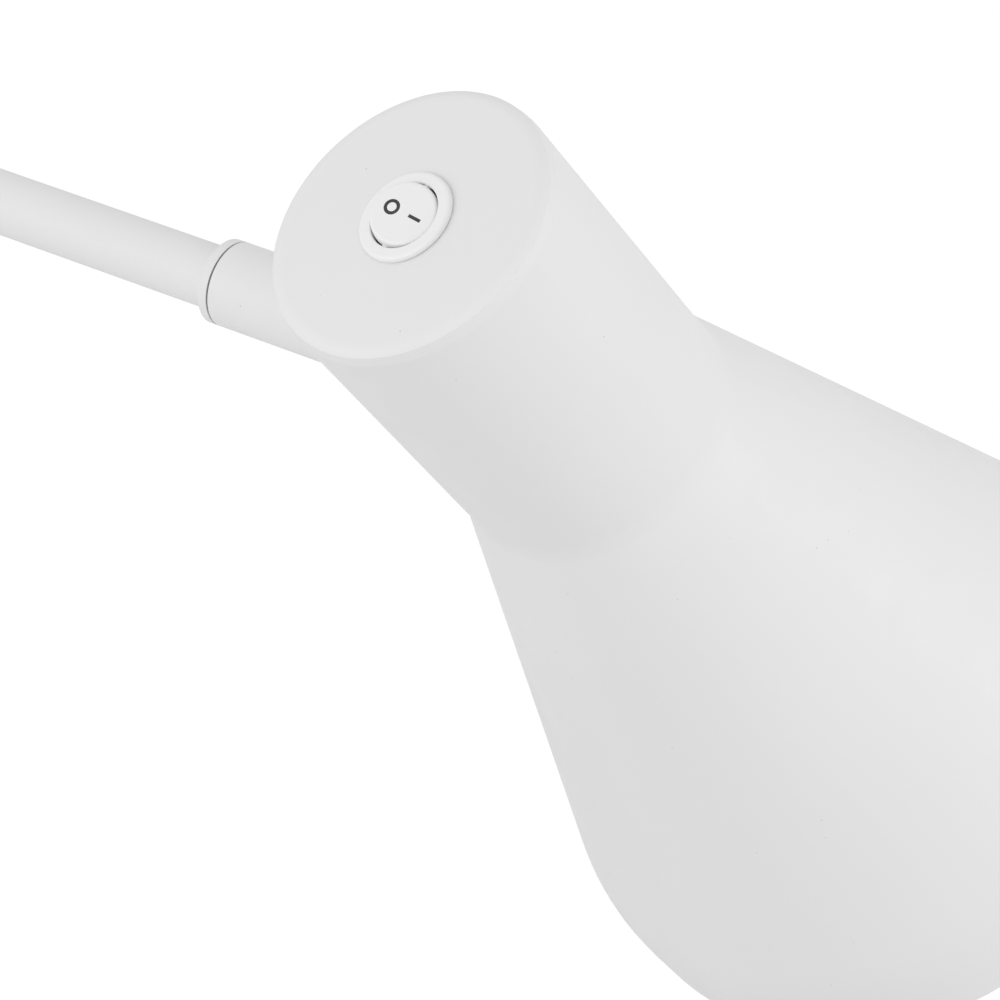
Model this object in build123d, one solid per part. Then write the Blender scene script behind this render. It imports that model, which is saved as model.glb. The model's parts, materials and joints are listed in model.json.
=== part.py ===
from build123d import *
import math
import os

# A wall-mounted reading lamp: a shade with a rocker switch, on a swivel at the end of a double swing arm.
# Sizes are millimetres. The wall is the plane Y = 0, the lamp reaches towards -Y, and +Z is up.

os.makedirs("parts", exist_ok=True)

# Fits
RUN = 0.05          # radial clearance of a turning fit
STILL = 0.1         # radial clearance of a fixed fit
FREE = 0.3          # clearance between faces that don't bear on each other
OVERLAP = 1.0       # pieces of one solid, and cutters, run this far into what they meet

# Stock used more than once
TUBE_R = 8.0
TUBE_WALL = 1.2
THREAD_R = 5.0      # M10 hollow nipple
NIPPLE_BORE_R = 3.5
NIPPLE_PAST = 1.5   # a nipple stands this far out of its nut
NUT_FLATS = 14.0
NUT_H = 4.0
SCREW_HEAD_R = 3.6
SCREW_SLOT = 0.9
CORD_R = 2.5        # two-core flex inside the tubes
CORD_BEND = 4.5
CORD_DIP = 3.0      # the flex lies this far off a tube's axis beside a pivot
CORD_PAST = 0.25    # the flex ends this far past its barrel's face
LEAD_R = 1.8        # leads inside the head
LEAD_BEND = 2.4

# Rest pose, as photographed
WALL_REST = 45.0    # inner arm, from straight out of the wall
ELBOW_REST = -90.0  # outer arm, from in line with the inner arm
HEAD_ROLL = 35.0    # shade, from hanging straight down
STUB_LEAN = 10.0    # the stub leans this much from square to the shade, towards the switch

# Half the travel of each swing, set by its stop
WALL_SWING = 80.0
ELBOW_SWING = 115.0
ROLL_SWING = 160.0
ROLL_SPARE = 1.0    # degrees that the swivel's groove runs on past its stop

# Arms, from axis to axis
WALL_REACH = 62.0
INNER_ARM = 220.0
OUTER_ARM = 265.0
FLEX_LEVEL = 60.0   # along the outer arm, where its flex has settled on the axis
FLEX_SHORT = 2.0    # the flex stops this far inside the outer tube

# Swing pivots: two barrels stacked on a hollow nipple
BARREL_R = 14.0
BARREL_H = 24.0
BARREL_BORE_R = 11.0
BARREL_EDGE = 0.6
WASHER_H = 1.0
WASHER_IN = 0.8     # the friction washer is set back this far from the barrel's side
SPRING_R = 9.0
SPRING_H = 1.0
CAP_H = 3.0
CAP_SEAM = 0.3      # chamfer on a cap and on its barrel where they meet
CAP_CLEAR = 1.2     # between a cap's spigot and the tube
TUBE_END = 10.0     # a tube stops this far from a pivot's axis
FLOOR = BARREL_H / 2 - TUBE_R - 2 * STILL
CAP_SPIGOT = BARREL_H / 2 - TUBE_R - CAP_CLEAR
LEVEL = BARREL_H + WASHER_H
PIN_R = 1.5
PIN_AT = 8.6
PIN_PLAY = 0.2      # between the stop pin and its groove's sides
PIN_STOP = 0.15     # between the stop pin and its groove's end at full travel
GROOVE_ROOF = 1.3   # metal left above the groove
GROOVE_DEEP = FLOOR - GROOVE_ROOF
PIN_RISE = GROOVE_DEEP - FREE

# Canopy and the bracket behind it
CANOPY_R = 55.0
CANOPY_D = 26.0
CANOPY_EDGE = 8.0
CANOPY_SHEET = 1.2
EAR_GAP = 1.3       # between the bracket's ears and the canopy
BRACKET_T = 2.0
BRACKET_W = 18.0
BRACKET_HALF = CANOPY_R - CANOPY_SHEET - EAR_GAP
EAR_H = 14.0
TAB_EDGE = 5.0      # metal around the supply hole
SLOT_AT = 30.0      # half the distance between the wall screws
SLOT_R = 2.4
SLOT_L = 12.0
SIDE_SCREW_AT = 9.0
SIDE_SCREW_R = 2.0
SIDE_SCREW_L = 7.0
SIDE_HEAD_H = 2.2
EARTH_AT = 16.0
EARTH_HEAD_H = 2.6
SUPPLY_HOLE_R = 8.0
SUPPLY_DROP = 21.0  # the supply cable comes in this far below the middle
GROMMET_BORE_R = 5.0
GROMMET_LIP_R = 10.0
GROMMET_LIP_H = 2.0

# Terminal block on the bracket's upper tab
TERMINAL_LOW = 11.0
TERMINAL_W = 15.0
TERMINAL_L = 30.0
TERMINAL_H = 13.0
TERMINAL_TAB = 2.0  # the tab stands out this far beside the block
TERMINAL_PITCH = 10.0
TERMINAL_WELL_R = 2.0
TERMINAL_WELL_D = 6.0
TERMINAL_WELL_IN = 4.0
TERMINAL_WAY_R = 2.2
TERMINAL_WAY_UP = 4.5
FLEX_START_UP = 7.5  # the flex leaves the block this far above the bracket

# Stem that carries the first pivot
ROSETTE_R = 17.0
ROSETTE_H = 7.0
ROSETTE_EDGE = 3.0
ROSETTE_FLOOR = 3.0
BACKING_R = 20.0
BACKING_T = 2.0
STEM_NIPPLE_OUT = 10.0

# Shade, measured along its axis from the switch end
NECK_R = 35.0
NECK_L = 89.0
CONE_ANGLE = 16.64
CONE_L = 144.2
SHOULDER_R = 61.6
HEAD_L = 264.0
SHEET = 0.8
HEM_R = 1.2
HEM_BACK = 2.8      # the rolled hem runs out into the sheet over this length
CREASE_R = 16.0
ARM_AT = 79.2       # where the arm's axis meets the shade's
RIM_AT = 1.25       # the neck's rim lies this far behind the end cap's face
RIM_IN = 0.5        # the neck draws in by this much at its rim, to the cap's own radius
RIM_TAPER = 2.5
CAP_EDGE = 4.5
CAP_SKIRT = 12.0
CAP_SHEET = 1.4
CAP_WALL = 1.2
SLOPE = math.radians(CONE_ANGLE)

# Swivel at the collar, measured along the arm from the shade's axis
STUB_R = 10.75
STUB_REACH = 64.5   # from the neck's side to the dark washer
SEAL_H = 0.55
SEAL_IN = 0.4       # the washer is set back this far from the collar's side
COLLAR_W = 2.4
SLEEVE_R = 9.3
SLEEVE_L = 43.5
SLEEVE_GAP = 4.0    # from the sleeve's end to the socket's floor
TUBE_SHORT = 1.0    # the arm's tube stops this far inside the sleeve
TAIL_R = 7.0
TAIL_PAST = 0.5     # the tail stands this far out of its nut
WIRE_WAY_R = 4.5
SADDLE_R = 11.0
SADDLE_IN = 3.5     # from the neck's side to the saddle's flat
SOCKET_NUT_FLATS = 19.0
SOCKET_NUT_H = 4.5
STOP_BACK = 21.5    # from the dark washer to the stop screw
STOP_R = 1.5
STOP_DEEP = 0.8
STOP_SUNK = 0.15
STOP_GAP = 0.25     # between the stop screw's tip and its groove's floor
STOP_KEY_FLATS = 1.5
STOP_KEY_DEEP = 0.9
SEAT_AT = NECK_R + STUB_REACH
SLEEVE_END = SEAT_AT - SLEEVE_L
SOCKET_FLOOR = SLEEVE_END - SLEEVE_GAP
STOP_AT = SEAT_AT - STOP_BACK
SADDLE_FACE = NECK_R - SADDLE_IN
TAIL_END = SADDLE_FACE - SOCKET_NUT_H - TAIL_PAST

# Lampholder, from the switch end
PLATE_AT = 36.0
PLATE_T = 1.5
PLATE_LIP_H = 6.0
PLATE_LIP_T = 1.2
PLATE_HOLE_R = 3.5
LEAD_IN = 4.1       # from the stub's tail to the lead that turns down beside it
LEAD_SIDE = TAIL_END - LEAD_IN
HOLDER_R = 19.5
HOLDER_WALL = 2.0
HOLDER_CROWN_R = 12.0
HOLDER_CROWN_H = 8.0
HOLDER_BOSS_R = 8.0
HOLDER_NIPPLE_IN = 9.0
HOLDER_SPLIT = 60.0
HOLDER_END = 92.0
HOLDER_EDGE = 2.0
INSERT_TOP = 56.0
INSERT_FACE = 62.0
SHELL_R = 14.9
SHELL_T = 1.3
SHELL_IN = 2.0      # the threaded shell stops this far inside the holder's mouth
CONTACT_R = 5.0
CONTACT_T = 1.0

# Bulb
BULB_CAP_R = 13.2
BULB_CAP_WALL = 0.8
BULB_TIP_R = 4.5
BULB_GLASS_R = 5.5  # insulator round the tip contact
BULB_CAP_BASE_R = 10.2
BULB_CAP_RISE = 6.0
BULB_SEAT_IN = 1.0  # the screw cap's rim lies this far inside the holder's mouth
BULB_NECK_L = 3.0
BULB_WALL = 2.0
BULB_WAIST_R = 19.0
BULB_WAIST_AT = 13.0
BULB_SEAM = 118.0
BULB_TIP = 174.0
BULB_R = 30.0
OPAL_WALL = 1.2

# Round rocker switch, measured from the end cap's face
SWITCH_TURN = 6.8   # degrees, clockwise from the arm
SWITCH_SIDE = 0.3   # the switch sits this far off the cap's middle
BEZEL_R = 11.5
BEZEL_H = 1.6
BEZEL_EDGE = 1.0
BEZEL_FOOT = 0.35
SWITCH_R = 9.9
SWITCH_D = 15.0
CLIP_OUT = 0.9      # the snap-in clips stand out this far from the body
CLIP_W = 5.0
CLIP_L = 4.0
WELL_R = 8.4
WELL_D = 7.0
WELL_EDGE = 0.2
CHAMBER_L = 12.0
CHAMBER_W = 7.0
CHAMBER_D = 4.0
BLADE_AT = 5.0
BLADE_T = 0.8
BLADE_W = 4.8
BLADE_OUT = 8.0
ROCKING_BAR_L = 11.2
ROCKING_BAR_W = 3.6
ROCKING_BAR_T = 0.6
ROCKER_R = 8.0      # its side is part of a ball about the pivot
ROCKER_TOP = 2.6    # above the pivot
ROCKER_LOW = 3.5
ROCKER_EDGE = 0.8
PLUNGER_R = 1.6
PLUNGER_L = 4.5
PIVOT_UP = 0.3
TRUNNION_R = 0.9
TRUNNION_END = 9.4
ROCKER_TILT = 15.0
MARK_AT = 3.12
MARK_IN = 0.3
MARK_UP = 0.02
MARK_STROKE = 0.78
RING_R = 1.88
BAR_L = 3.15
LEAD_ALONG = 5.0    # a lead lies along its blade for this length
LEAD_DOWN = 3.0     # and runs on this far past the blade's tip
LEAD_FALL = 2.0     # and drops this much more on its way across

# Frames of the five bodies, each hung on the one before
WALL = Rot(90, 0, 0)
WALL_PIVOT = Pos(0, -WALL_REACH, 0) * Rot(0, 0, -90)
INNER = WALL_PIVOT * Pos(0, 0, LEVEL) * Rot(0, 0, WALL_REST)
ELBOW = INNER * Pos(INNER_ARM, 0, 0)
OUTER = ELBOW * Pos(0, 0, LEVEL) * Rot(0, 0, ELBOW_REST)
ARM_TIP = OUTER * Pos(OUTER_ARM, 0, 0)
SWIVEL = ARM_TIP * Rot(HEAD_ROLL, 0, 0)
HEAD = SWIVEL * Rot(0, -STUB_LEAN, 0)

nodes = {}


def add(name, solid, place):
    nodes[name] = place * solid


def depth(s):
    """Height in the head's frame of a point s along the shade from its switch end."""
    return ARM_AT - s


def disc(radius, low, high, bore=0):
    """A round piece along Z, bored through if a bore is given."""
    piece = Pos(0, 0, (low + high) / 2) * Cylinder(radius, high - low)
    if bore:
        piece -= Pos(0, 0, (low + high) / 2) * Cylinder(bore, high - low)
    return piece


def rod(radius, start, end, bore=0):
    """The same along X."""
    return Pos(start, 0, 0) * Rot(0, 90, 0) * disc(radius, 0, end - start, bore)


def block(x, y, z):
    """A box given by its two limits on each axis."""
    return Pos(sum(x) / 2, sum(y) / 2, sum(z) / 2) * Box(x[1] - x[0], y[1] - y[0], z[1] - z[0])


def around(middle, width):
    """The two limits of a width about a middle."""
    return (middle - width / 2, middle + width / 2)


def turned(*points):
    """A solid of revolution about Z from the corners of its half section."""
    return revolve(Plane.XZ * make_face(Polyline(*points, close=True)), Axis.Z)


def sector(inner, outer, low, high, middle, half):
    """Part of a ring about Z, half degrees to each side of the middle heading."""
    section = Polyline((inner, low), (outer, low), (outer, high), (inner, high), close=True)
    ring = revolve(Plane.XZ * make_face(section), Axis.Z, revolution_arc=2 * half)
    return Rot(0, 0, middle - half) * ring


def nut(flats, low, high, bore):
    hexagon = extrude(RegularPolygon(flats / 2, 6, major_radius=False), high - low)
    return Pos(0, 0, low) * hexagon - disc(bore, low, high)


def lead(radius, bend, *points):
    """A round wire along a line with rounded corners."""
    line = FilletPolyline(*points, radius=bend)
    return sweep(Plane(origin=line @ 0, z_dir=line % 0) * Circle(radius), path=line)


def screw(radius, length, head_h):
    """A slotted screw along Z with the underside of its head at 0."""
    body = disc(radius, -length, 0) + disc(SCREW_HEAD_R, 0, head_h)
    body = fillet(body.edges().sort_by(Axis.Z)[-1], head_h * 0.35)
    slot = block(around(0, SCREW_SLOT), around(0, 2 * SCREW_HEAD_R), (head_h / 2, head_h))
    return body - slot


def barrel(opens, tube_side):
    """A hollow barrel about Z, open downwards (-1) or upwards (1), with a side hole for its tube."""
    body = Cylinder(BARREL_R, BARREL_H)
    for end, size in ((-opens, BARREL_EDGE), (opens, CAP_SEAM)):
        rings = body.edges().filter_by(GeomType.CIRCLE).sort_by(Axis.Z)
        body = chamfer(rings[-1 if end > 0 else 0], size)
    body -= Pos(0, 0, opens * FLOOR / 2) * Cylinder(BARREL_BORE_R, BARREL_H - FLOOR)
    body -= Cylinder(THREAD_R + RUN, BARREL_H)
    return body - Rot(0, 0, 90 - 90 * tube_side) * rod(TUBE_R + STILL, 0, BARREL_R + OVERLAP)


def barrel_cap():
    """A press-in cap that closes a barrel's upper end."""
    end = BARREL_H / 2
    lid = disc(BARREL_R, end, end + CAP_H)
    lid = fillet(lid.edges().filter_by(GeomType.CIRCLE).sort_by(Axis.Z)[-1], CAP_H / 2)
    lid = chamfer(lid.edges().filter_by(GeomType.CIRCLE).sort_by(Axis.Z)[0], CAP_SEAM)
    return lid + disc(BARREL_BORE_R - STILL, end - CAP_SPIGOT, end)


def swing_pivot(name, lower, upper, half_travel):
    """The barrels, caps and pivot hardware of one vertical swing; the stop pin faces back along the arm."""
    end = BARREL_H / 2
    under = end - FLOOR
    top = end + WASHER_H
    floor_top = top + FLOOR
    spring_top = floor_top + SPRING_H
    thread = THREAD_R + RUN
    pin_place = Pos(-PIN_AT, 0, 0)
    pin_hole = pin_place * disc(PIN_R + STILL, under, top)

    add(name + "_lower_barrel", barrel(-1, -1) - pin_place * disc(PIN_R, under, end), lower)
    add(name + "_bottom_cap", Rot(180, 0, 0) * barrel_cap(), lower)
    nipple_ends = (under - NUT_H - NIPPLE_PAST, spring_top + NUT_H + NIPPLE_PAST)
    add(name + "_nipple", disc(THREAD_R, *nipple_ends, NIPPLE_BORE_R), lower)
    nuts = nut(NUT_FLATS, under - NUT_H, under, thread)
    nuts += nut(NUT_FLATS, spring_top, spring_top + NUT_H, thread)
    add(name + "_nuts", nuts, lower)
    add(name + "_spring_washer", disc(SPRING_R, floor_top, spring_top, thread), lower)
    add(name + "_friction_washer", disc(BARREL_R - WASHER_IN, end, top, thread) - pin_hole, lower)
    add(name + "_stop_pin", pin_place * disc(PIN_R, under + PIN_PLAY, top + PIN_RISE), lower)

    half = half_travel + math.degrees(math.asin((PIN_R + PIN_STOP) / PIN_AT))
    reach = PIN_R + PIN_PLAY
    groove = sector(PIN_AT - reach, PIN_AT + reach, -end, -end + GROOVE_DEEP, 180, half)
    add(name + "_upper_barrel", barrel(1, 1) - groove, upper)
    add(name + "_top_cap", barrel_cap(), upper)


def bracket():
    """The strip on the wall, with slots for its screws, an ear at each end and a tab above and below."""
    width = around(0, BRACKET_W)
    sheet = (0, BRACKET_T)
    root = BRACKET_W / 2 - OVERLAP
    strip = block((-BRACKET_HALF, BRACKET_HALF), width, sheet)
    tab_top = TERMINAL_LOW + TERMINAL_W + TERMINAL_TAB / 2
    strip += block(around(0, TERMINAL_L + 2 * TERMINAL_TAB), (root, tab_top), sheet)
    collar = SUPPLY_HOLE_R + TAB_EDGE
    strip += block((-collar, collar), (-SUPPLY_DROP - collar, -root), sheet)
    for side in (-1, 1):
        ear = block((BRACKET_HALF - BRACKET_T, BRACKET_HALF), width, (0, EAR_H))
        tapped = rod(SIDE_SCREW_R + RUN, BRACKET_HALF - BRACKET_T, BRACKET_HALF)
        ear -= Pos(0, 0, SIDE_SCREW_AT) * tapped
        strip += Rot(0, 0, 90 - 90 * side) * ear
        strip -= Pos(side * SLOT_AT, 0, 0) * extrude(SlotOverall(SLOT_L, 2 * SLOT_R), BRACKET_T)
    strip -= Pos(0, -SUPPLY_DROP, 0) * disc(SUPPLY_HOLE_R, *sheet)
    return strip - Pos(-EARTH_AT, 0, 0) * disc(SIDE_SCREW_R + RUN, *sheet)


def canopy_dish():
    """The canopy: a shallow cup with a round edge and a hole for the stem's nipple."""
    back = CANOPY_SHEET
    outer = [(CANOPY_R, 0), (CANOPY_R, CANOPY_D - CANOPY_EDGE), (CANOPY_R - CANOPY_EDGE, CANOPY_D)]
    inner = [(x - back, z - back) for x, z in outer]
    bend = CANOPY_EDGE * (1 - math.sqrt(0.5))
    outer_mid = (CANOPY_R - bend, CANOPY_D - bend)
    inner_mid = (outer_mid[0] - back, outer_mid[1] - back)
    hole = THREAD_R + STILL
    section = Line(outer[0], outer[1]) + ThreePointArc(outer[1], outer_mid, outer[2])
    section += Polyline(outer[2], (hole, CANOPY_D), (hole, CANOPY_D - back), inner[2])
    section += ThreePointArc(inner[2], inner_mid, inner[1])
    section += Polyline(inner[1], (CANOPY_R - back, 0), outer[0])
    dish = revolve(Plane.XZ * make_face(section), Axis.Z)
    reach = CANOPY_R + OVERLAP
    return dish - Pos(0, 0, SIDE_SCREW_AT) * rod(SIDE_SCREW_R + STILL, -reach, reach)


def terminals():
    """The terminal block: three ways, each with a wire hole through it and two screw wells."""
    high = BRACKET_T + TERMINAL_H
    ends = (TERMINAL_LOW, TERMINAL_LOW + TERMINAL_W)
    body = block(around(0, TERMINAL_L), ends, (BRACKET_T, high))
    for place in (-TERMINAL_PITCH, 0, TERMINAL_PITCH):
        for up in (ends[0] + TERMINAL_WELL_IN, ends[1] - TERMINAL_WELL_IN):
            body -= Pos(place, up, 0) * disc(TERMINAL_WELL_R, high - TERMINAL_WELL_D, high)
        way = Rot(90, 0, 0) * disc(TERMINAL_WAY_R, -ends[1], -ends[0])
        body -= Pos(place, 0, BRACKET_T + TERMINAL_WAY_UP) * way
    return body


def wall_fitting():
    """The bracket, canopy, wiring and stem, drawn with Z out of the wall and Y up."""
    add("wall_bracket", bracket(), WALL)
    add("canopy", canopy_dish(), WALL)
    side_screw = Rot(0, 90, 0) * screw(SIDE_SCREW_R, SIDE_SCREW_L, SIDE_HEAD_H)
    side_screw = Pos(CANOPY_R, 0, SIDE_SCREW_AT) * side_screw
    add("canopy_screws", side_screw + Rot(0, 0, 180) * side_screw, WALL)
    earth = screw(SIDE_SCREW_R, BRACKET_T - 2 * STILL, EARTH_HEAD_H)
    add("earth_screw", earth, WALL * Pos(-EARTH_AT, 0, BRACKET_T))
    lip = disc(GROMMET_LIP_R, BRACKET_T, BRACKET_T + GROMMET_LIP_H, GROMMET_BORE_R)
    grommet = disc(SUPPLY_HOLE_R - STILL, 0, BRACKET_T, GROMMET_BORE_R) + lip
    add("cable_grommet", grommet, WALL * Pos(0, -SUPPLY_DROP, 0))
    add("terminal_block", terminals(), WALL)

    seat = CANOPY_D + ROSETTE_FLOOR
    front = CANOPY_D + ROSETTE_H
    rosette = disc(ROSETTE_R, CANOPY_D, front)
    rosette = fillet(rosette.edges().sort_by(Axis.Z)[-1], ROSETTE_EDGE)
    rosette -= disc(THREAD_R + RUN, CANOPY_D, front)
    add("stem_rosette", rosette - disc(TUBE_R + STILL, seat, front), WALL)
    add("stem_tube", disc(TUBE_R, seat, WALL_REACH - TUBE_END, TUBE_R - TUBE_WALL), WALL)
    inside = CANOPY_D - CANOPY_SHEET
    nut_top = inside - BACKING_T
    nut_low = nut_top - NUT_H
    nipple_end = CANOPY_D + STEM_NIPPLE_OUT
    add("stem_backing_plate", disc(BACKING_R, nut_top, inside, THREAD_R + STILL), WALL)
    add("stem_nut", nut(NUT_FLATS, nut_low, nut_top, THREAD_R + RUN), WALL)
    add("stem_nipple", disc(THREAD_R, nut_low - NIPPLE_PAST, nipple_end, NIPPLE_BORE_R), WALL)
    start = BRACKET_T + FLEX_START_UP
    way = [(0, TERMINAL_LOW - 2 * STILL, start), (0, 0, start), (0, 0, nipple_end + OVERLAP)]
    way += [(0, -CORD_DIP, WALL_REACH - BARREL_R), (0, -CORD_DIP, WALL_REACH)]
    way.append((0, BARREL_H / 2 + CORD_PAST, WALL_REACH))
    add("wall_lead", lead(CORD_R, CORD_BEND, *way), WALL)


def arms():
    """The two tubes with the flex inside them, and the collar that carries the head."""
    bore = TUBE_R - TUBE_WALL
    low = -BARREL_H / 2 - CORD_PAST
    rise = BARREL_H / 2 + CORD_PAST
    add("inner_tube", rod(TUBE_R, TUBE_END, INNER_ARM - TUBE_END, bore), INNER)
    way = [(0, 0, low), (0, 0, CORD_DIP), (INNER_ARM, 0, -CORD_DIP), (INNER_ARM, 0, rise)]
    add("inner_lead", lead(CORD_R, CORD_BEND, *way), INNER)
    tube_end = OUTER_ARM - SLEEVE_END - TUBE_SHORT
    add("outer_tube", rod(TUBE_R, TUBE_END, tube_end, bore), OUTER)
    way = [(0, 0, low), (0, 0, CORD_DIP), (FLEX_LEVEL, 0, 0), (tube_end - FLEX_SHORT, 0, 0)]
    add("outer_lead", lead(CORD_R, CORD_BEND, *way), OUTER)

    front = -SEAT_AT - COLLAR_W
    sleeve = rod(STUB_R, front, -SEAT_AT) + rod(SLEEVE_R, -SEAT_AT, -SLEEVE_END)
    sleeve -= rod(TUBE_R + RUN, front, -SLEEVE_END)
    half = ROLL_SWING + math.degrees(math.asin(STOP_R / SLEEVE_R)) + ROLL_SPARE
    sides = around(STOP_AT, 2 * (STOP_R + FREE))
    groove = sector(SLEEVE_R - STOP_DEEP, SLEEVE_R + OVERLAP, *sides, 0, half)
    add("swivel_sleeve", sleeve - Rot(0, -90, 0) * Rot(0, 0, 180) * groove, ARM_TIP)
    add("swivel_seal", rod(STUB_R - SEAL_IN, -SEAT_AT, -SEAT_AT + SEAL_H, SLEEVE_R + RUN), ARM_TIP)


def stub():
    """The stub that turns on the sleeve and is clamped through the neck, with its stop screw."""
    mouth = -SEAT_AT + SEAL_H
    lean = Rot(0, -STUB_LEAN, 0)
    body = rod(STUB_R, mouth, -SADDLE_FACE) - lean * Cylinder(NECK_R + RUN, HEAD_L)
    body += rod(TAIL_R, -SOCKET_FLOOR + OVERLAP, -TAIL_END)
    body -= rod(SLEEVE_R + RUN, mouth, -SOCKET_FLOOR)
    body -= rod(WIRE_WAY_R, -SOCKET_FLOOR - OVERLAP, -TAIL_END)
    stop_place = Pos(-STOP_AT, 0, 0)
    body -= stop_place * disc(STOP_R + RUN, -STUB_R - OVERLAP, -SLEEVE_R + OVERLAP)
    add("swivel_stub", body, SWIVEL)
    stop = disc(STOP_R, -STUB_R + STOP_SUNK, -SLEEVE_R + STOP_DEEP - STOP_GAP)
    key = extrude(RegularPolygon(STOP_KEY_FLATS / 2, 6, major_radius=False), STOP_KEY_DEEP)
    add("roll_stop_screw", stop_place * (stop - Pos(0, 0, -STUB_R) * key), SWIVEL)

    inside = lean * Cylinder(NECK_R - SHEET - RUN, HEAD_L)
    saddle = rod(SADDLE_R, -NECK_R - SADDLE_R, -SADDLE_FACE) & inside
    saddle -= rod(TAIL_R + STILL, -NECK_R - SADDLE_R, -SADDLE_FACE)
    add("stub_saddle", saddle, SWIVEL)
    lock = nut(SOCKET_NUT_FLATS, 0, SOCKET_NUT_H, TAIL_R + RUN)
    add("stub_nut", Pos(-SADDLE_FACE, 0, 0) * Rot(0, 90, 0) * lock, SWIVEL)


def shade_points(inset):
    """Crease, cone end, shoulder middle and shoulder end of the shade's section, inset from its skin."""
    crease = (NECK_R - inset, depth(NECK_L + inset * math.tan(SLOPE / 2)))
    cone_r = NECK_R + CONE_L * math.tan(SLOPE)
    cone_s = NECK_L + CONE_L
    centre = (cone_r - SHOULDER_R * math.cos(SLOPE), depth(cone_s + SHOULDER_R * math.sin(SLOPE)))
    reach = SHOULDER_R - inset
    turns = (SLOPE, SLOPE / 2, 0)
    return [crease] + [(centre[0] + reach * math.cos(t), centre[1] + reach * math.sin(t)) for t in turns]


def shade():
    """The spun shade with a rolled hem, and a hole for the stub's tail."""
    outer = shade_points(0)
    inner = shade_points(SHEET)
    rim_r = outer[3][0]
    hem_in = rim_r - 2 * HEM_R
    start = depth(RIM_AT)
    rim = (NECK_R - RIM_IN, start)
    hem = depth(HEAD_L - HEM_R)
    section = Polyline(rim, (NECK_R, start - RIM_TAPER), *outer[:2]) + ThreePointArc(*outer[1:])
    section += Line(outer[3], (rim_r, hem))
    section += ThreePointArc((rim_r, hem), (rim_r - HEM_R, hem - HEM_R), (hem_in, hem))
    section += Polyline((hem_in, hem), (rim_r - SHEET, hem + HEM_BACK), inner[3])
    section += ThreePointArc(*inner[:0:-1])
    section += Polyline(inner[1], inner[0], (NECK_R - SHEET, start), rim)
    skin = revolve(Plane.XZ * make_face(section), Axis.Z)
    rings = skin.edges().filter_by(GeomType.CIRCLE)
    skin = fillet([ring for ring in rings if abs(ring.center().Z - outer[0][1]) < SHEET / 2], CREASE_R)
    skin -= Rot(0, STUB_LEAN, 0) * rod(TAIL_R + STILL, -NECK_R - SADDLE_R, -SADDLE_FACE)
    add("shade", skin, HEAD)


def end_cap():
    """The cap let into the neck's end, with a soft edge that lies on the rim; it holds the switch."""
    skirt = NECK_R - SHEET - STILL
    bend = math.acos(1 - RIM_AT / CAP_EDGE)
    flat = NECK_R - RIM_IN - CAP_EDGE * math.sin(bend)
    bends = (0, bend / 2, bend)
    edge = [(flat + CAP_EDGE * math.sin(t), depth(CAP_EDGE * (1 - math.cos(t)))) for t in bends]
    section = Line((0, depth(0)), edge[0]) + ThreePointArc(*edge)
    section += Polyline(
        edge[2],
        (skirt, depth(RIM_AT)),
        (skirt, depth(CAP_SKIRT)),
        (skirt - CAP_WALL, depth(CAP_SKIRT)),
        (skirt - CAP_WALL, depth(CAP_EDGE)),
        (flat - CAP_WALL, depth(CAP_SHEET)),
        (0, depth(CAP_SHEET)),
        (0, depth(0)),
    )
    cap = revolve(Plane.XZ * make_face(section), Axis.Z)
    hole = disc(SWITCH_R + 2 * STILL, depth(CAP_SHEET + OVERLAP), depth(-OVERLAP))
    add("end_cap", cap - Pos(0, SWITCH_SIDE, 0) * hole, HEAD)


def lampholder():
    """The plate pressed into the neck, and the screw lampholder hung from it."""
    fit = NECK_R - SHEET - 2 * STILL
    top = depth(PLATE_AT)
    low = top - PLATE_T
    plate = disc(fit, low, top, THREAD_R + STILL) + disc(fit, top, top + PLATE_LIP_H, fit - PLATE_LIP_T)
    plate -= Pos(-LEAD_SIDE, 0, 0) * disc(PLATE_HOLE_R, low, top)
    add("holder_plate", plate, HEAD)
    nipple_top = top + NUT_H + NIPPLE_PAST
    add("holder_nipple", disc(THREAD_R, low - HOLDER_NIPPLE_IN, nipple_top, NIPPLE_BORE_R), HEAD)
    add("holder_nut", nut(NUT_FLATS, top, top + NUT_H, THREAD_R + RUN), HEAD)

    split = depth(HOLDER_SPLIT)
    wall = HOLDER_R - HOLDER_WALL
    thread = THREAD_R + RUN
    crown_low = low - HOLDER_CROWN_H
    crown_in = HOLDER_CROWN_R - HOLDER_WALL * 0.4
    cup = turned(
        (thread, low),
        (HOLDER_CROWN_R, low),
        (HOLDER_R, crown_low),
        (HOLDER_R, split),
        (wall, split),
        (wall, crown_low - HOLDER_WALL / 2),
        (crown_in, low - HOLDER_WALL),
        (HOLDER_BOSS_R, low - HOLDER_WALL),
        (HOLDER_BOSS_R, crown_low),
        (thread, crown_low),
    )
    add("holder_cap", cup, HEAD)
    face = depth(INSERT_FACE)
    mouth = depth(HOLDER_END)
    bore = SHELL_R + FREE
    body = turned(
        (HOLDER_R, split),
        (HOLDER_R, mouth + HOLDER_EDGE),
        (HOLDER_R - HOLDER_EDGE, mouth),
        (bore, mouth),
        (bore, face),
        (wall, face),
        (wall, split),
    )
    add("holder_body", body, HEAD)
    add("holder_insert", disc(wall - FREE, face, depth(INSERT_TOP)), HEAD)
    contacts = disc(SHELL_R, mouth + SHELL_IN, face, SHELL_R - SHELL_T)
    add("holder_contacts", contacts + disc(CONTACT_R, face - CONTACT_T, face), HEAD)


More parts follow.
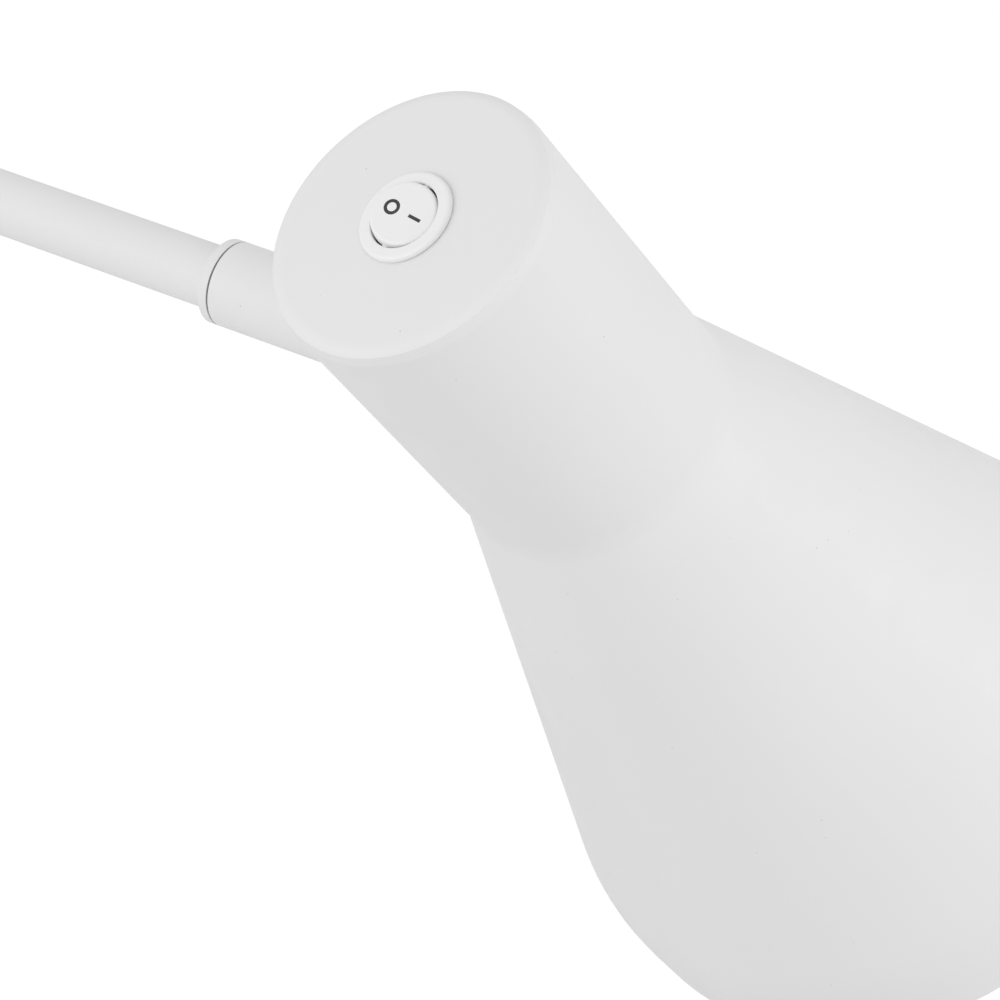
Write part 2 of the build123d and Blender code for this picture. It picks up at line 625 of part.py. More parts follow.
def bulb():
    """The bulb: screw cap, flared base and opal globe."""
    tip = depth(INSERT_FACE + CONTACT_T)
    seat = depth(HOLDER_END - BULB_SEAT_IN)
    rise = tip - BULB_CAP_RISE
    cap_in = BULB_CAP_R - BULB_CAP_WALL
    screw_cap = turned(
        (0, tip),
        (BULB_TIP_R, tip),
        (BULB_GLASS_R, tip - BULB_CAP_RISE / 3),
        (BULB_CAP_BASE_R, tip - BULB_CAP_RISE / 2),
        (BULB_CAP_R, rise),
        (BULB_CAP_R, seat),
        (cap_in, seat),
        (cap_in, rise - BULB_CAP_WALL / 2),
        (BULB_GLASS_R - BULB_CAP_WALL / 2, tip - BULB_CAP_RISE * 2 / 3),
        (0, tip - BULB_CAP_RISE * 2 / 3),
    )
    add("bulb_cap", screw_cap, HEAD)

    join = depth(BULB_SEAM)
    wide = BULB_R - BULB_WALL
    neck = seat - BULB_NECK_L
    waist = seat - BULB_WAIST_AT
    slant_low = (0.25, -1)
    slant_high = (0.18, -1)
    outside = [(BULB_CAP_R, neck), (BULB_WAIST_R, waist), (wide, join)]
    inside = [(x - BULB_WALL, z) for x, z in reversed(outside)]
    back = [(-x, -z) for x, z in (slant_high, slant_low)]
    base = Line((BULB_CAP_R, seat), outside[0]) + Spline(*outside, tangents=(slant_low, slant_high))
    base += Line(outside[2], inside[0]) + Spline(*inside, tangents=back)
    base += Polyline(inside[2], (BULB_CAP_R - BULB_WALL, seat), (BULB_CAP_R, seat))
    add("bulb_base", revolve(Plane.XZ * make_face(base), Axis.Z), HEAD)

    end = depth(BULB_TIP)
    middle = end + BULB_R
    wide_in = wide - OPAL_WALL
    round_in = BULB_R - OPAL_WALL
    down = (0, -1)
    up = (0, 1)
    globe = Spline((wide, join), (BULB_R, middle), tangents=(slant_high, down))
    globe += ThreePointArc((BULB_R, middle), (BULB_R * 0.6, middle - BULB_R * 0.8), (0, end))
    globe += Line((0, end), (0, end + OPAL_WALL))
    inner_mid = (round_in * 0.6, middle - round_in * 0.8)
    globe += ThreePointArc((0, end + OPAL_WALL), inner_mid, (round_in, middle))
    globe += Spline((round_in, middle), (wide_in, join), tangents=(up, back[0]))
    globe += Line((wide_in, join), (wide, join))
    add("bulb_diffuser", revolve(Plane.XZ * make_face(globe), Axis.Z), HEAD)


def switch():
    """The round rocker switch in the end cap, drawn from the cap's face."""
    face = HEAD * Pos(0, SWITCH_SIDE, depth(0)) * Rot(0, 0, -SWITCH_TURN)
    flange = disc(BEZEL_R, 0, BEZEL_H)
    flange = fillet(flange.edges().filter_by(GeomType.CIRCLE).sort_by(Axis.Z)[-1], BEZEL_EDGE)
    flange = chamfer(flange.edges().filter_by(GeomType.CIRCLE).sort_by(Axis.Z)[0], BEZEL_FOOT)
    body = flange + disc(SWITCH_R, -SWITCH_D, 0)
    clip_top = -CAP_SHEET - STILL
    for side in (-1, 1):
        clip = around(side * (SWITCH_R + CLIP_OUT / 3), CLIP_OUT * 4 / 3)
        body += block(clip, around(0, CLIP_W), (clip_top - CLIP_L, clip_top))
    body -= disc(WELL_R, -WELL_D, BEZEL_H)
    rings = body.edges().filter_by(GeomType.CIRCLE)
    lip = [ring for ring in rings if abs(ring.center().Z - BEZEL_H) < RUN]
    body = chamfer(min(lip, key=lambda ring: ring.radius), WELL_EDGE)
    low = -WELL_D - CHAMBER_D
    body -= block(around(0, CHAMBER_L), around(0, CHAMBER_W), (low, -WELL_D))
    trunnion_way = disc(TRUNNION_R + RUN, -TRUNNION_END - STILL, TRUNNION_END + STILL)
    body -= Pos(0, 0, PIVOT_UP) * Rot(90, 0, 0) * trunnion_way
    blades = []
    for side in (-1, 1):
        slot = (around(side * BLADE_AT, BLADE_T + 2 * RUN), around(0, BLADE_W + 2 * RUN))
        body -= block(*slot, (-SWITCH_D, low))
        blade = (around(side * BLADE_AT, BLADE_T), around(0, BLADE_W))
        blades.append(block(*blade, (-SWITCH_D - BLADE_OUT, low)))
    add("switch_body", body, face)
    add("switch_terminals", blades[0] + blades[1], face)
    rocking_bar = block(around(0, ROCKING_BAR_L), around(0, ROCKING_BAR_W), (low, low + ROCKING_BAR_T))
    add("switch_contact", rocking_bar, face)


def rocker():
    """The rocker on its trunnions, with an inlaid ring on one half and an inlaid bar on the other."""
    pivot = HEAD * Pos(0, SWITCH_SIDE, depth(-PIVOT_UP)) * Rot(0, 0, -SWITCH_TURN)
    place = pivot * Rot(0, ROCKER_TILT, 0)
    body = Sphere(ROCKER_R) & disc(ROCKER_R + OVERLAP, -ROCKER_LOW, ROCKER_TOP)
    body = fillet(body.edges().filter_by(GeomType.CIRCLE).sort_by(Axis.Z)[-1], ROCKER_EDGE)
    body += Rot(90, 0, 0) * disc(TRUNNION_R, -TRUNNION_END, TRUNNION_END)
    body += disc(PLUNGER_R, -ROCKER_LOW - PLUNGER_L, -ROCKER_LOW)
    inlay = (ROCKER_TOP - MARK_IN, ROCKER_TOP + MARK_UP)
    ring = Pos(-MARK_AT, 0, 0) * disc(RING_R, *inlay, RING_R - MARK_STROKE)
    bar = block(around(MARK_AT, BAR_L), around(0, MARK_STROKE), inlay)
    add("rocker", body - ring - bar, place)
    add("rocker_marks", ring + bar, place)


def head_leads():
    """The leads from the stub to the switch, and from the switch to the lampholder."""
    out = SLEEVE_END - TUBE_SHORT
    lean = math.radians(STUB_LEAN)
    beside = BLADE_AT + BLADE_T / 2 + LEAD_R + STILL
    across = beside * math.cos(math.radians(SWITCH_TURN))
    aside = beside * math.sin(math.radians(SWITCH_TURN))
    end = depth(SWITCH_D + BLADE_OUT - LEAD_ALONG)
    turn = depth(SWITCH_D + BLADE_OUT + LEAD_DOWN)
    way = [(-out * math.cos(lean), 0, out * math.sin(lean)), (-LEAD_SIDE, 0, LEAD_SIDE * math.tan(lean))]
    blade = SWITCH_SIDE + aside
    way += [(-LEAD_SIDE, 0, turn - LEAD_FALL), (-across, blade, turn), (-across, blade, end)]
    add("supply_lead", lead(LEAD_R, LEAD_BEND, *way), HEAD)
    blade = SWITCH_SIDE - aside
    way = [(across, blade, end), (across, blade, turn), (0, 0, turn - LEAD_FALL)]
    way.append((0, 0, depth(INSERT_TOP - STILL)))
    add("switch_lead", lead(LEAD_R, LEAD_BEND, *way), HEAD)


wall_fitting()
swing_pivot("wall", WALL_PIVOT, INNER, WALL_SWING)
swing_pivot("elbow", ELBOW, OUTER, ELBOW_SWING)
arms()
stub()
shade()
end_cap()
lampholder()
bulb()
switch()
rocker()
head_leads()

for name, solid in nodes.items():
    export_step(solid, "parts/" + name + ".step")
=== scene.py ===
import json
import math
import bpy
from bpy.props import FloatProperty, FloatVectorProperty, IntProperty, PointerProperty
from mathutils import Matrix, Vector


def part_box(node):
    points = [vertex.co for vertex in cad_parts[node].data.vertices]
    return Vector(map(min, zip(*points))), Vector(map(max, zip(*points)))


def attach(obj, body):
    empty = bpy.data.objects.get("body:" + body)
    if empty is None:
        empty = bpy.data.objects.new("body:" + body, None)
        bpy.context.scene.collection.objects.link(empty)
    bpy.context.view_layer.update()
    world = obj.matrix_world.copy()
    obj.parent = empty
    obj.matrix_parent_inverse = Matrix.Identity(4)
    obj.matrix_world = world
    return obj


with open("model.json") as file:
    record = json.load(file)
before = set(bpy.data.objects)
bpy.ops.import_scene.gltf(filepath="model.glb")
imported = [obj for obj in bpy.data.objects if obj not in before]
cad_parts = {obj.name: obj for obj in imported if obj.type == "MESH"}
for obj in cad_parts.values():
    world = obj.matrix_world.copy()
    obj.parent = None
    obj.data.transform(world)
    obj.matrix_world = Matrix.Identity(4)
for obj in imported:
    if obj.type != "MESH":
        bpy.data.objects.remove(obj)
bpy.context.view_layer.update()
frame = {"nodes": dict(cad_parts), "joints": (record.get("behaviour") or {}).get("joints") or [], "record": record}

bl_info = {
    "name": "Swing-arm reading lamp",
    "version": (1, 0, 0),
    "blender": (4, 5, 0),
    "location": "3D View > Sidebar > Reading Lamp",
    "description": "Finishes, fine detail and a studio for a wall-mounted reading lamp",
    "category": "Object",
}

NODES = frame["nodes"]
JOINTS = {joint["name"]: joint for joint in frame["joints"]}
SLOT_OF = {part["node"]: part["material_slot"] for part in frame["record"]["subparts"]}
SLOT_COLOUR = {material["slot"]: material["base_color"] for material in frame["record"]["materials"]}
SWIVEL_AT = Vector(JOINTS["head_swivel"]["pos_m"])
ROCKER_AT = Vector(JOINTS["rocker_tip"]["pos_m"])
HEAD_UP = (ROCKER_AT - SWIVEL_AT).normalized()
UP = Vector((0, 0, 1))

# Each braze: its name, the body that it rides on, its tube and the barrel that the tube runs into
BRAZES = (
    ("stem_braze", "wall_mount", "stem_tube", "wall_lower_barrel"),
    ("inner_tube_near_braze", "inner_arm", "inner_tube", "wall_upper_barrel"),
    ("inner_tube_far_braze", "inner_arm", "inner_tube", "elbow_lower_barrel"),
    ("outer_tube_braze", "outer_arm", "outer_tube", "elbow_upper_barrel"),
)
BRAZE_STEPS = 96     # round the tube
BRAZE_CURVE = 7      # points across the hollow of the fillet
BRAZE_SMOOTH = math.radians(35)
RING_BEVEL = math.radians(25)
RING_SMOOTH = math.radians(30)

NOISE_LOW = 0.3      # most of a noise texture's values lie between these two
NOISE_HIGH = 0.7
DRIFT_SIZE = 60      # width of the drift in colour, in grains
GLOSS_SIZE = 8       # width of the patches of gloss, in grains
GLOSS_SPREAD = 0.12
SPECK_CORE = 0.5     # share of a speck's radius that has its full colour

SENSOR = 36.0        # width of the camera's sensor, in millimetres
NEAR_CLIP = 0.01
SIDE_ANGLE = math.radians(70)
FRONT_ANGLE = math.radians(35)
PAPER_TONE = (0.85, 0.85, 0.85, 1)
PAPER_GLOW = 0.97
SHADOW_TONE = (0.06, 0.06, 0.06, 1)
WHITE = (1, 1, 1, 1)


class Finish(bpy.types.PropertyGroup):
    """Colours and grain of the lamp's finishes."""

    coat_colour: FloatVectorProperty(
        name="Powder coat", description="Colour of the painted metal",
        subtype="COLOR", size=3, min=0, max=1, default=(0.77, 0.77, 0.77))
    switch_colour: FloatVectorProperty(
        name="Switch plastic", description="Colour of the switch's bezel and rocker",
        subtype="COLOR", size=3, min=0, max=1, default=(0.83, 0.83, 0.83))
    coat_peel: FloatProperty(
        name="Orange peel", description="Height of the ripple in the powder coat",
        unit="LENGTH", default=0.000006, precision=6)
    coat_roughness: FloatProperty(
        name="Coat roughness", description="Gloss of the powder coat, from mirror to chalk",
        subtype="FACTOR", min=0, max=1, default=0.6)
    dust_size: FloatProperty(
        name="Dust size", description="Radius of the dust grains caught in the powder coat",
        unit="LENGTH", default=0.00022, precision=6)
    dust_spread: FloatProperty(
        name="Dust spread", description="Usual distance between dust grains in depth and along the coat",
        unit="LENGTH", default=0.0075, precision=5)
    dust_colour: FloatVectorProperty(
        name="Dust", description="Colour of the dust grains",
        subtype="COLOR", size=3, min=0, max=1, default=(0.5, 0.49, 0.47))


class Detail(bpy.types.PropertyGroup):
    """Sizes of the fine pieces."""

    braze_leg: FloatProperty(
        name="Braze leg", description="Width of a braze on its tube and on its barrel",
        unit="LENGTH", default=0.0022, precision=5)
    braze_lift: FloatProperty(
        name="Braze edge", description="Thickness of the paint along a braze's edges",
        unit="LENGTH", default=0.00004, precision=6)
    braze_root: FloatProperty(
        name="Braze root", description="How far a braze goes into the metal",
        unit="LENGTH", default=0.0004, precision=5)
    ring_up: FloatProperty(
        name="Holder ring place", description="From the lampholder's mouth to the ring's middle",
        unit="LENGTH", default=0.011, precision=4)
    ring_width: FloatProperty(
        name="Holder ring width", description="Height of the ring along the lampholder",
        unit="LENGTH", default=0.009, precision=4)
    ring_wall: FloatProperty(
        name="Holder ring wall", description="Thickness of the ring between its ribs",
        unit="LENGTH", default=0.0022, precision=5)
    ring_rib: FloatProperty(
        name="Holder ring ribs", description="Height of the grip ribs",
        unit="LENGTH", default=0.0007, precision=5)
    ring_ribs: IntProperty(
        name="Rib count", description="Number of grip ribs round the ring", default=40, min=8)
    ring_edge: FloatProperty(
        name="Holder ring edge", description="Rounding of the ring's edges",
        unit="LENGTH", default=0.00022, precision=6)


class Studio(bpy.types.PropertyGroup):
    """Camera, floor and light."""

    heading: FloatProperty(
        name="Camera heading", description="Turn of the camera about the vertical",
        subtype="ANGLE", default=math.radians(-100.1955))
    drop: FloatProperty(
        name="Camera drop", description="How far below level the camera looks",
        subtype="ANGLE", default=math.radians(32.3157))
    distance: FloatProperty(
        name="Camera distance", description="From the camera to the head's swivel, along the view",
        unit="LENGTH", default=0.92870, precision=5)
    swivel_right: FloatProperty(
        name="Swivel to the right",
        description="How far the swivel lies to the right of the picture's middle",
        unit="LENGTH", default=0.016491, precision=6)
    swivel_up: FloatProperty(
        name="Swivel up", description="How far the swivel lies above the picture's middle",
        unit="LENGTH", default=0.022390, precision=6)
    lens: FloatProperty(
        name="Lens", description="Focal length on a 36 mm sensor, in millimetres", default=144.0)
    floor_drop: FloatProperty(
        name="Floor below the wall fitting", description="Height of the lamp on its wall",
        unit="LENGTH", default=1.2)
    floor_size: FloatProperty(
        name="Floor size", description="Side of the square floor", unit="LENGTH", default=16.0)
    sky: FloatProperty(
        name="Room light", description="Strength of the even light from all round", default=0.765)
    right_power: FloatProperty(
        name="Right lamp", description="Power of the soft lamp on the camera's right",
        subtype="POWER", default=9.2)
    left_power: FloatProperty(
        name="Left lamp", description="Power of the soft lamp on the camera's left",
        subtype="POWER", default=3.75)
    front_power: FloatProperty(
        name="Front lamp", description="Power of the soft lamp beside the camera",
        subtype="POWER", default=6.0)
    lamp_distance: FloatProperty(
        name="Lamp distance", description="From each lamp to the head's swivel", unit="LENGTH", default=1.8)
    lamp_size: FloatProperty(
        name="Lamp size", description="Width of each round lamp", unit="LENGTH", default=1.2)


def new_material(name, colour, roughness, metallic=0.0):
    """A material with one Principled shader; returns both."""
    material = bpy.data.materials.new(name)
    material.use_nodes = True
    shader = material.node_tree.nodes["Principled BSDF"]
    shader.inputs["Base Color"].default_value = (*colour, 1)
    shader.inputs["Roughness"].default_value = roughness
    shader.inputs["Metallic"].default_value = metallic
    return material, shader


def noise(material, scale):
    """Noise on the piece's own coordinates, scale in cells per metre; returns its output from 0 to 1."""
    nodes = material.node_tree.nodes
    texture = nodes.new("ShaderNodeTexNoise")
    texture.inputs["Scale"].default_value = scale
    place = nodes.new("ShaderNodeTexCoord").outputs["Object"]
    material.node_tree.links.new(place, texture.inputs["Vector"])
    return texture.outputs["Fac"]


def spread(material, value, low, high):
    """The value's middle range mapped to low..high."""
    node = material.node_tree.nodes.new("ShaderNodeMapRange")
    node.inputs["From Min"].default_value = NOISE_LOW
    node.inputs["From Max"].default_value = NOISE_HIGH
    node.inputs["To Min"].default_value = low
    node.inputs["To Max"].default_value = high
    material.node_tree.links.new(value, node.inputs["Value"])
    return node.outputs["Result"]


def between(material, value, first, second):
    """A colour between two, by a value from 0 to 1; on the Mix node the colours are sockets 6 and 7."""
    node = material.node_tree.nodes.new("ShaderNodeMix")
    node.data_type = "RGBA"
    node.inputs[6].default_value = (*first, 1)
    node.inputs[7].default_value = (*second, 1)
    material.node_tree.links.new(value, node.inputs[0])
    return node.outputs[2]


def relief(material, shader, value, height):
    """Bump on the shader from a value, height in metres."""
    node = material.node_tree.nodes.new("ShaderNodeBump")
    node.inputs["Distance"].default_value = height
    material.node_tree.links.new(value, node.inputs["Height"])
    material.node_tree.links.new(node.outputs["Normal"], shader.inputs["Normal"])


def shaded(colour, share):
    """The colour made lighter or darker."""
    return tuple(min(1.0, channel * share) for channel in colour)


def grained(name, colour, roughness, grain, height, contrast, metallic=0.0):
    """A finish with a slow drift of colour, uneven gloss and a fine grain; grain in cells per metre."""
    material, shader = new_material(name, colour, roughness, metallic)
    links = material.node_tree.links
    drift = spread(material, noise(material, grain / DRIFT_SIZE), 0, 1)
    mixed = between(material, drift, shaded(colour, 1 - contrast), shaded(colour, 1 + contrast))
    links.new(mixed, shader.inputs["Base Color"])
    patches = noise(material, grain / GLOSS_SIZE)
    gloss = spread(material, patches, roughness * (1 - GLOSS_SPREAD), roughness * (1 + GLOSS_SPREAD))
    links.new(gloss, shader.inputs["Roughness"])
    relief(material, shader, noise(material, grain), height)
    return material


def specks(material, spacing, radius):
    """Sparse round grains on the piece's own coordinates; returns 1 in a grain and 0 elsewhere."""
    nodes = material.node_tree.nodes
    links = material.node_tree.links
    texture = nodes.new("ShaderNodeTexVoronoi")
    texture.inputs["Scale"].default_value = 1 / spacing
    links.new(nodes.new("ShaderNodeTexCoord").outputs["Object"], texture.inputs["Vector"])
    edge = nodes.new("ShaderNodeMapRange")
    edge.inputs["From Min"].default_value = SPECK_CORE * radius / spacing
    edge.inputs["From Max"].default_value = radius / spacing
    edge.inputs["To Min"].default_value = 1
    edge.inputs["To Max"].default_value = 0
    links.new(texture.outputs["Distance"], edge.inputs["Value"])
    return edge.outputs["Result"]


def powder_coat(finish):
    """White powder coat: faint orange peel, uneven satin gloss, and a grain of dust here and there."""
    colour = tuple(finish.coat_colour)
    material = grained(
        "white_powder_coat", colour, finish.coat_roughness,
        grain=900, height=finish.coat_peel, contrast=0.006)
    shader = material.node_tree.nodes["Principled BSDF"]
    links = material.node_tree.links
    clean = shader.inputs["Base Color"].links[0].from_socket
    grains = specks(material, finish.dust_spread, finish.dust_size)
    dusty = between(material, grains, colour, tuple(finish.dust_colour))
    links.new(clean, dusty.node.inputs[6])
    links.new(dusty, shader.inputs["Base Color"])
    return material


def switch_plastic(finish):
    """Moulded white plastic with a fine spark-eroded grain."""
    return grained(
        "white_switch_plastic", tuple(finish.switch_colour), roughness=0.42,
        grain=4000, height=0.000002, contrast=0.006)


FINISHES = {
    "zinc_plated_steel": dict(roughness=0.34, grain=2500, height=0.000004, metallic=1.0, contrast=0.08),
    "brass": dict(roughness=0.3, grain=1800, height=0.000003, metallic=1.0, contrast=0.1),
    "black_rubber": dict(roughness=0.72, grain=3000, height=0.000012, contrast=0.2),
    "terminal_plastic": dict(roughness=0.45, grain=1500, height=0.000004, contrast=0.02),
    "white_flex": dict(roughness=0.5, grain=1500, height=0.000006, contrast=0.02),
    "dark_fibre": dict(roughness=0.85, grain=5000, height=0.00001, contrast=0.25),
    "white_holder_plastic": dict(roughness=0.36, grain=1200, height=0.000003, contrast=0.015),
    "bulb_cap_metal": dict(roughness=0.28, grain=2200, height=0.000003, metallic=1.0, contrast=0.06),
    "bulb_white_plastic": dict(roughness=0.5, grain=1500, height=0.000004, contrast=0.012),
    "bulb_opal": dict(roughness=0.38, grain=800, height=0.000002, contrast=0.008),
    "black_print": dict(roughness=0.55, grain=6000, height=0.000004, contrast=0.25),
}


class LAMP_OT_finishes(bpy.types.Operator):
    """Give every piece of the frame its finish"""

    bl_idname = "lamp.finishes"
    bl_label = "Finishes"

    def execute(self, context):
        finish = context.scene.lamp_finish
        materials = {
            "white_powder_coat": powder_coat(finish),
            "white_switch_plastic": switch_plastic(finish),
        }
        for slot, look in FINISHES.items():
            materials[slot] = grained(slot, SLOT_COLOUR[slot], **look)
        for name, node in NODES.items():
            node.data.materials.clear()
            node.data.materials.append(materials[SLOT_OF[name]])
        return {"FINISHED"}


def middle_of(name):
    """Middle of a node's box."""
    low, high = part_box(name)
    return (Vector(low) + Vector(high)) / 2


def girth(name, point, way):
    """Largest distance of a node from the line through a point."""
    return max((vertex.co - point).cross(way).length for vertex in NODES[name].data.vertices)


def lowest(name, point, way):
    """Where a node begins along the line, measured from the point."""
    return min((vertex.co - point).dot(way) for vertex in NODES[name].data.vertices)


def finished(piece, name, body, like):
    """Name a piece, give it the finish of a node and let it ride on its body."""
    piece.name = name
    piece.data.name = name
    piece.data.materials.append(NODES[like].data.materials[0])
    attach(piece, body)


class LAMP_OT_brazes(bpy.types.Operator):
    """Run a painted braze fillet round each tube where it enters its barrel"""

    bl_idname = "lamp.brazes"
    bl_label = "Braze fillets"

    def execute(self, context):
        for name, body, tube, barrel in BRAZES:
            piece = self.fillet(context.scene.lamp_detail, tube, barrel)
            finished(piece, name, body, barrel)
        return {"FINISHED"}

    def fillet(self, detail, tube, barrel):
        """A ring with a hollow face, fitted to the sides of the tube and the barrel."""
        middle = middle_of(barrel)
        way = middle_of(tube) - middle
        way.z = 0
        way.normalize()
        side = way.cross(UP)
        tube_r = girth(tube, middle, way)
        barrel_r = girth(barrel, middle, UP)
        root = detail.braze_root
        section = BRAZE_CURVE + 3
        bpy.ops.object.select_all(action="DESELECT")
        bpy.ops.mesh.primitive_torus_add(
            major_segments=BRAZE_STEPS, minor_segments=section, major_radius=tube_r, minor_radius=root)
        piece = bpy.context.object
        for step in range(BRAZE_STEPS):
            turn = math.tau * step / BRAZE_STEPS
            out = math.cos(turn) * UP + math.sin(turn) * side

            def place(past_tube, past_barrel):
                """A point this far outside the tube and this far out from the barrel's side."""
                radius = tube_r + past_tube
                return middle + radius * out + (self.wall(barrel_r, radius, turn) + past_barrel) * way

            lift = detail.braze_lift
            start = place(lift, detail.braze_leg)
            corner = place(lift, lift)
            end = place(detail.braze_leg, lift)
            points = [place(-root, detail.braze_leg)]
            for index in range(BRAZE_CURVE):
                t = index / (BRAZE_CURVE - 1)
                points.append((1 - t) ** 2 * start + 2 * t * (1 - t) * corner + t * t * end)
            points += [place(detail.braze_leg, -root), place(-root, -root)]
            for index, point in enumerate(points):
                piece.data.vertices[step * section + index].co = point
        bpy.ops.object.mode_set(mode="EDIT")
        bpy.ops.mesh.select_all(action="SELECT")
        bpy.ops.mesh.normals_make_consistent(inside=False)
        bpy.ops.object.mode_set(mode="OBJECT")
        bpy.ops.object.shade_smooth_by_angle(angle=BRAZE_SMOOTH)
        return piece

    def wall(self, barrel_r, radius, turn):
        """How far out along the tube the barrel's side lies, at a turn round the tube."""
        return math.sqrt(barrel_r ** 2 - (radius * math.sin(turn)) ** 2)


class LAMP_OT_holder_ring(bpy.types.Operator):
    """Screw a ribbed ring onto the lampholder"""

    bl_idname = "lamp.holder_ring"
    bl_label = "Lampholder ring"

    def execute(self, context):
        detail = context.scene.lamp_detail
        mouth = lowest("holder_body", SWIVEL_AT, HEAD_UP)
        radius = girth("holder_body", SWIVEL_AT, HEAD_UP) + detail.ring_wall
        bpy.ops.object.select_all(action="DESELECT")
        bpy.ops.mesh.primitive_cylinder_add(
            vertices=2 * detail.ring_ribs, radius=radius, depth=detail.ring_width, end_fill_type="NOTHING",
            location=SWIVEL_AT + (mouth + detail.ring_up) * HEAD_UP,
            rotation=HEAD_UP.to_track_quat("Z", "Y").to_euler())
        piece = bpy.context.object
        bpy.ops.object.transform_apply(location=True, rotation=True, scale=True)
        bpy.ops.object.mode_set(mode="EDIT")
        bpy.ops.mesh.select_mode(type="FACE")
        bpy.ops.mesh.select_all(action="DESELECT")
        bpy.ops.object.mode_set(mode="OBJECT")
        for face in piece.data.polygons:
            face.select = face.index % 2 == 0
        bpy.ops.object.mode_set(mode="EDIT")
        bpy.ops.mesh.inset(thickness=detail.ring_rib / 2, depth=detail.ring_rib, use_individual=True)
        bpy.ops.object.mode_set(mode="OBJECT")
        wall = piece.modifiers.new("wall", "SOLIDIFY")
        wall.thickness = detail.ring_wall
        wall.offset = -1
        bpy.ops.object.modifier_apply(modifier=wall.name)
        edge = piece.modifiers.new("edge", "BEVEL")
        edge.width = detail.ring_edge
        edge.segments = 2
        edge.limit_method = "ANGLE"
        edge.angle_limit = RING_BEVEL
        bpy.ops.object.modifier_apply(modifier=edge.name)
        bpy.ops.object.shade_smooth_by_angle(angle=RING_SMOOTH)
        finished(piece, "holder_ring", "head", "holder_body")
        return {"FINISHED"}


def paper_white(nodes, links, lit):
    """A mix whose second shader shows to the camera and in reflections, and the lit one to other light."""
    path = nodes.new("ShaderNodeLightPath")
    seen = nodes.new("ShaderNodeMath")
    seen.operation = "MAXIMUM"
    links.new(path.outputs["Is Camera Ray"], seen.inputs[0])
    links.new(path.outputs["Is Glossy Ray"], seen.inputs[1])
    through = nodes.new("ShaderNodeMath")
    through.operation = "MAXIMUM"
    links.new(seen.outputs["Value"], through.inputs[0])
    links.new(path.outputs["Is Transmission Ray"], through.inputs[1])
    mix = nodes.new("ShaderNodeMixShader")
    links.new(through.outputs["Value"], mix.inputs["Fac"])
    links.new(lit.outputs[0], mix.inputs[1])
    return mix


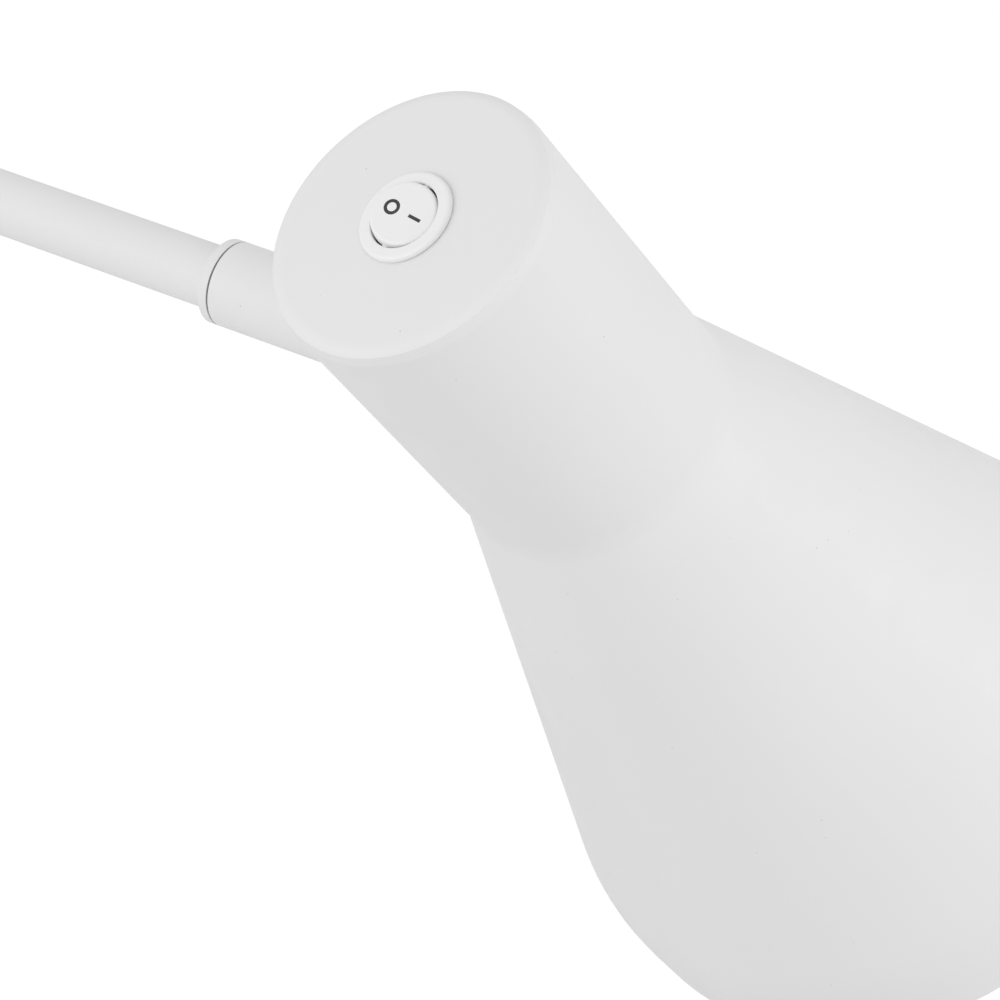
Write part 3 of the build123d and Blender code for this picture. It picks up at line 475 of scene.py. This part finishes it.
class LAMP_OT_stage(bpy.types.Operator):
    """Set up the floor, the room light, the lamps and the camera"""

    bl_idname = "lamp.stage"
    bl_label = "Studio"

    def execute(self, context):
        studio = context.scene.lamp_studio
        self.floor(studio)
        self.room(context.scene, studio)
        self.camera(context.scene, studio)
        self.lamps(context.scene, studio)
        context.scene.view_settings.view_transform = "Standard"
        return {"FINISHED"}

    def floor(self, studio):
        """White paper that keeps a faint shadow and can be seen through from below."""
        bpy.ops.object.select_all(action="DESELECT")
        bpy.ops.mesh.primitive_plane_add(size=studio.floor_size, location=(0, 0, -studio.floor_drop))
        floor = bpy.context.object
        floor.name = "floor"
        material = bpy.data.materials.new("floor_paper")
        material.use_nodes = True
        nodes = material.node_tree.nodes
        links = material.node_tree.links
        nodes.clear()
        paper = nodes.new("ShaderNodeBsdfDiffuse")
        paper.inputs["Color"].default_value = PAPER_TONE
        mix = paper_white(nodes, links, paper)
        glow = nodes.new("ShaderNodeEmission")
        glow.inputs["Strength"].default_value = PAPER_GLOW
        shadow = nodes.new("ShaderNodeBsdfDiffuse")
        shadow.inputs["Color"].default_value = SHADOW_TONE
        both = nodes.new("ShaderNodeAddShader")
        links.new(glow.outputs[0], both.inputs[0])
        links.new(shadow.outputs[0], both.inputs[1])
        links.new(both.outputs[0], mix.inputs[2])
        one_sided = nodes.new("ShaderNodeMixShader")
        links.new(nodes.new("ShaderNodeNewGeometry").outputs["Backfacing"], one_sided.inputs["Fac"])
        links.new(mix.outputs[0], one_sided.inputs[1])
        links.new(nodes.new("ShaderNodeBsdfTransparent").outputs[0], one_sided.inputs[2])
        output = nodes.new("ShaderNodeOutputMaterial")
        links.new(one_sided.outputs[0], output.inputs["Surface"])
        floor.data.materials.append(material)

    def room(self, scene, studio):
        """Even light from all round, before a plain white background."""
        world = bpy.data.worlds.new("room")
        world.use_nodes = True
        scene.world = world
        nodes = world.node_tree.nodes
        links = world.node_tree.links
        lit = nodes["Background"]
        lit.inputs["Color"].default_value = WHITE
        lit.inputs["Strength"].default_value = studio.sky
        mix = paper_white(nodes, links, lit)
        glow = nodes.new("ShaderNodeBackground")
        glow.inputs["Color"].default_value = WHITE
        glow.inputs["Strength"].default_value = 1.0
        links.new(glow.outputs[0], mix.inputs[2])
        links.new(mix.outputs[0], nodes["World Output"].inputs["Surface"])

    def camera(self, scene, studio):
        """A long lens, placed from the head's swivel."""
        turn = (math.pi / 2 - studio.drop, 0, studio.heading)
        bpy.ops.object.camera_add(rotation=turn)
        camera = bpy.context.object
        camera.name = "camera"
        camera.data.lens = studio.lens
        camera.data.sensor_width = SENSOR
        camera.data.clip_start = NEAR_CLIP
        offset = Vector((studio.swivel_right, studio.swivel_up, -studio.distance))
        camera.location = SWIVEL_AT - camera.rotation_euler.to_matrix() @ offset
        scene.camera = camera

    def lamps(self, scene, studio):
        """Three soft lamps, each given by its angle from the camera's line of sight and its side."""
        view = scene.camera.rotation_euler.to_matrix()
        for name, off, side, power in (
            ("right_lamp", SIDE_ANGLE, 1, studio.right_power),
            ("left_lamp", SIDE_ANGLE, -1, studio.left_power),
            ("front_lamp", FRONT_ANGLE, -1, studio.front_power),
        ):
            way = view @ Vector((side * math.sin(off), 0, math.cos(off)))
            turn = (-way).to_track_quat("-Z", "Y").to_euler()
            place = SWIVEL_AT + studio.lamp_distance * way
            bpy.ops.object.light_add(type="AREA", location=place, rotation=turn)
            lamp = bpy.context.object
            lamp.name = name
            lamp.data.shape = "DISK"
            lamp.data.size = studio.lamp_size
            lamp.data.energy = power


class LAMP_PT_panel(bpy.types.Panel):
    """The lamp's steps and sizes in the 3D view's sidebar"""

    bl_idname = "LAMP_PT_panel"
    bl_label = "Reading Lamp"
    bl_space_type = "VIEW_3D"
    bl_region_type = "UI"
    bl_category = "Reading Lamp"

    def draw(self, context):
        layout = self.layout
        for group in (context.scene.lamp_finish, context.scene.lamp_detail, context.scene.lamp_studio):
            for name in group.bl_rna.properties.keys():
                if name not in ("rna_type", "name"):
                    layout.prop(group, name)
        for operator in OPERATORS:
            layout.operator(operator.bl_idname)


GROUPS = (Finish, Detail, Studio)
OPERATORS = (LAMP_OT_finishes, LAMP_OT_brazes, LAMP_OT_holder_ring, LAMP_OT_stage)


def register():
    for group in (*GROUPS, *OPERATORS, LAMP_PT_panel):
        bpy.utils.register_class(group)
    bpy.types.Scene.lamp_finish = PointerProperty(type=Finish)
    bpy.types.Scene.lamp_detail = PointerProperty(type=Detail)
    bpy.types.Scene.lamp_studio = PointerProperty(type=Studio)


def unregister():
    del bpy.types.Scene.lamp_studio
    del bpy.types.Scene.lamp_detail
    del bpy.types.Scene.lamp_finish
    for group in reversed((*GROUPS, *OPERATORS, LAMP_PT_panel)):
        bpy.utils.unregister_class(group)


def main():
    register()
    bpy.ops.lamp.finishes()
    bpy.ops.lamp.brazes()
    bpy.ops.lamp.holder_ring()
    bpy.ops.lamp.stage()


if __name__ == "__main__":
    main()
